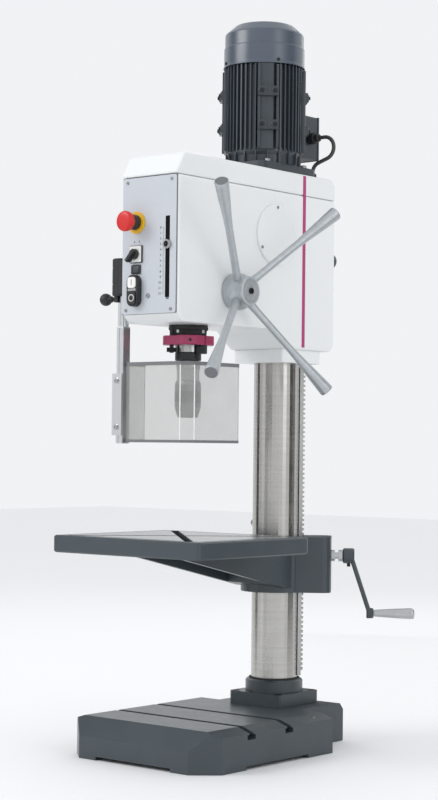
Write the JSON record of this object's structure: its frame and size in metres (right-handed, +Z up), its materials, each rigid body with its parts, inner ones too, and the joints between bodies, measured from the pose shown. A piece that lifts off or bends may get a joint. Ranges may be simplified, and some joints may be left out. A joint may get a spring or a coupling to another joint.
{
  "type": "pillar drill press",
  "caption": "Floor-standing pillar drill with a motor on its head, a cranked T-slot table, feed levers, a key chuck and a swinging clear guard.",
  "frame": {"origin": "on the floor, under the column's axis", "axes": "+Z up along the column; the operator stands at -Y; the feed levers are on the +X side"},
  "size_m": [0.5193, 0.7486, 1.762],
  "materials": {
    "slate_paint": "dark slate enamel over cast iron",
    "white_paint": "pale grey-white enamel over cast iron",
    "panel_grey": "mid grey front plate",
    "motor_grey": "dark blue-grey enamel",
    "collar_red": "deep red-purple paint",
    "ground_steel": "turned and ground steel",
    "polished_steel": "polished steel",
    "black_plastic": "black moulded plastic",
    "clear_sheet": "clear transparent guard sheet",
    "stop_red": "red push button",
    "warning_yellow": "yellow backing ring",
    "button_white": "white plastic",
    "black_rubber": "black rubber"
  },
  "bodies": {
    "frame": {"base": "slate_paint", "column_flange": "slate_paint", "column": "ground_steel", "head_casting": "white_paint", "head_cover": "white_paint", "head_clamp_flange": "white_paint", "control_panel": "panel_grey", "side_cover": "white_paint", "motor_flange": "motor_grey", "motor_housing": "motor_grey", "fan_cover": "motor_grey", "terminal_box": "motor_grey", "lead_gland": "black_plastic", "lead_grommet": "black_plastic", "motor_lead": "black_rubber", "drive_belt": "black_rubber", "quill_bumper": "black_rubber", "feed_spring_cover": "slate_paint", "e_stop_collar": "warning_yellow", "mode_switch_plate": "button_white", "button_housing": "black_plastic", "guard_switch": "black_plastic"},
    "swing_rack": {"column_rack": "ground_steel"},
    "table_unit": {"table": "slate_paint"},
    "lift_gear_unit": {"lift_gear": "ground_steel"},
    "crank": {"crank_shaft": "ground_steel", "crank_arm": "slate_paint"},
    "crank_handle": {"crank_grip": "polished_steel"},
    "collar_clamp": {"table_clamp": "ground_steel"},
    "motor_turning": {"motor_rotor": "ground_steel", "motor_fan": "black_plastic", "motor_pulley": "ground_steel"},
    "spindle_drive": {"spindle_pulley": "ground_steel"},
    "quill_unit": {"quill": "ground_steel", "quill_collar": "collar_red", "quill_end_ring": "black_plastic", "spindle_bearing": "ground_steel", "depth_stop_rod": "black_plastic", "depth_pointer": "polished_steel"},
    "depth_nut": {"depth_stop_nut": "black_plastic"},
    "spindle_unit": {"spindle": "ground_steel", "chuck_body": "ground_steel"},
    "chuck_outer": {"chuck_sleeve": "motor_grey"},
    "jaw_1": {"chuck_jaw_1": "ground_steel"},
    "jaw_2": {"chuck_jaw_2": "ground_steel"},
    "jaw_3": {"chuck_jaw_3": "ground_steel"},
    "feed": {"feed_pinion": "ground_steel", "feed_hub": "white_paint", "feed_arm_1": "polished_steel", "feed_arm_2": "polished_steel", "feed_arm_3": "polished_steel", "feed_arm_4": "polished_steel"},
    "e_stop": {"e_stop_button": "stop_red"},
    "mode_knob": {"mode_switch": "black_plastic"},
    "start": {"start_button": "button_white"},
    "stop": {"stop_button": "black_plastic"},
    "isolator": {"isolator_knob": "motor_grey"},
    "guard": {"guard_post": "ground_steel", "guard_shield": "clear_sheet"},
    "guard_lock": {"guard_lock_knob": "black_plastic"}
  },
  "joints": [
    {"name": "table_swing", "type": "hinge", "parent": "frame", "child": "swing_rack", "pos_m": [0, 0, 0.5], "axis": [0, 0, 1], "range_deg": [-90, 90]},
    {"name": "table_lift", "type": "slide", "parent": "swing_rack", "child": "table_unit", "axis": [0, 0, 1], "range_m": [-0.2, 0.12]},
    {"name": "lift_gear_turn", "type": "hinge", "parent": "table_unit", "child": "lift_gear_unit", "pos_m": [0.06891, 0.05006, 0.425], "axis": [0.5878, -0.809, 0], "range_deg": [-700, 420]},
    {"name": "crank_turn", "type": "hinge", "parent": "table_unit", "child": "crank", "pos_m": [0.13252, 0.0728, 0.4598], "axis": [0.809, 0.5878, 0], "range_deg": [-1090, 660]},
    {"name": "crank_grip_turn", "type": "hinge", "parent": "crank", "child": "crank_handle", "pos_m": [0.24578, 0.15509, 0.3194], "axis": [0.809, 0.5878, 0], "continuous": true},
    {"name": "table_clamp_turn", "type": "hinge", "parent": "table_unit", "child": "collar_clamp", "pos_m": [-0.09137, 0.05275, 0.44], "axis": [-0.866, 0.5, 0], "range_deg": [-60, 60]},
    {"name": "motor_turn", "type": "hinge", "parent": "frame", "child": "motor_turning", "pos_m": [0, -0.0642, 1.5], "axis": [0, 0, 1], "continuous": true},
    {"name": "spindle_drive_turn", "type": "hinge", "parent": "frame", "child": "spindle_drive", "pos_m": [0, -0.338, 1.295], "axis": [0, 0, 1], "continuous": true},
    {"name": "quill_feed", "type": "slide", "parent": "frame", "child": "quill_unit", "axis": [0, 0, -1], "range_m": [0, 0.12], "stiffness_N_per_m": 300, "springref_m": -0.4},
    {"name": "depth_nut_turn", "type": "hinge", "parent": "quill_unit", "child": "depth_nut", "pos_m": [-0.0144, -0.3806, 0.951], "axis": [0, 0, 1], "continuous": true},
    {"name": "spindle_turn", "type": "hinge", "parent": "quill_unit", "child": "spindle_unit", "pos_m": [0, -0.338, 1], "axis": [0, 0, 1], "continuous": true},
    {"name": "chuck_turn", "type": "hinge", "parent": "spindle_unit", "child": "chuck_outer", "pos_m": [0, -0.338, 0.84], "axis": [0, 0, 1], "range_deg": [0, 720]},
    {"name": "jaw_1_slide", "type": "slide", "parent": "spindle_unit", "child": "jaw_1", "axis": [0, -0.2419, -0.9703], "range_m": [0, 0.0082]},
    {"name": "jaw_2_slide", "type": "slide", "parent": "spindle_unit", "child": "jaw_2", "axis": [0.2095, 0.121, -0.9703], "range_m": [0, 0.0082]},
    {"name": "jaw_3_slide", "type": "slide", "parent": "spindle_unit", "child": "jaw_3", "axis": [-0.2095, 0.121, -0.9703], "range_m": [0, 0.0082]},
    {"name": "feed_turn", "type": "hinge", "parent": "frame", "child": "feed", "pos_m": [0.11, -0.278, 1.089], "axis": [1, 0, 0], "range_deg": [0, 220]},
    {"name": "e_stop_push", "type": "slide", "parent": "frame", "child": "e_stop", "axis": [0, 1, 0], "range_m": [0, 0.004]},
    {"name": "mode_switch_turn", "type": "hinge", "parent": "frame", "child": "mode_knob", "pos_m": [-0.038, -0.4787, 1.167], "axis": [0, -1, 0], "range_deg": [-45, 45]},
    {"name": "start_push", "type": "slide", "parent": "frame", "child": "start", "axis": [0, 1, 0], "range_m": [0, 0.003], "stiffness_N_per_m": 500},
    {"name": "stop_push", "type": "slide", "parent": "frame", "child": "stop", "axis": [0, 1, 0], "range_m": [0, 0.003], "stiffness_N_per_m": 500},
    {"name": "isolator_turn", "type": "hinge", "parent": "frame", "child": "isolator", "pos_m": [0.048, 0.1215, 1.198], "axis": [0, 1, 0], "range_deg": [0, 90]},
    {"name": "guard_swing", "type": "hinge", "parent": "frame", "child": "guard", "pos_m": [-0.1, -0.4535, 0.9], "axis": [0, 0, 1], "range_deg": [-110, 0]},
    {"name": "guard_lock_turn", "type": "hinge", "parent": "frame", "child": "guard_lock", "pos_m": [-0.12, -0.4535, 1.069], "axis": [-1, 0, 0], "range_deg": [-90, 90]}
  ],
  "couplings": [
    {"joint": "lift_gear_turn", "follows": "table_lift", "rad_per_m": 60.707},
    {"joint": "crank_turn", "follows": "table_lift", "rad_per_m": 94},
    {"joint": "feed_turn", "follows": "quill_feed", "rad_per_m": 31.733},
    {"joint": "spindle_drive_turn", "follows": "motor_turn", "ratio": 1},
    {"joint": "spindle_turn", "follows": "motor_turn", "ratio": 1},
    {"joint": "jaw_1_slide", "follows": "chuck_turn", "m_per_rad": 0.00063662},
    {"joint": "jaw_2_slide", "follows": "chuck_turn", "m_per_rad": 0.00063662},
    {"joint": "jaw_3_slide", "follows": "chuck_turn", "m_per_rad": 0.00063662}
  ]
}
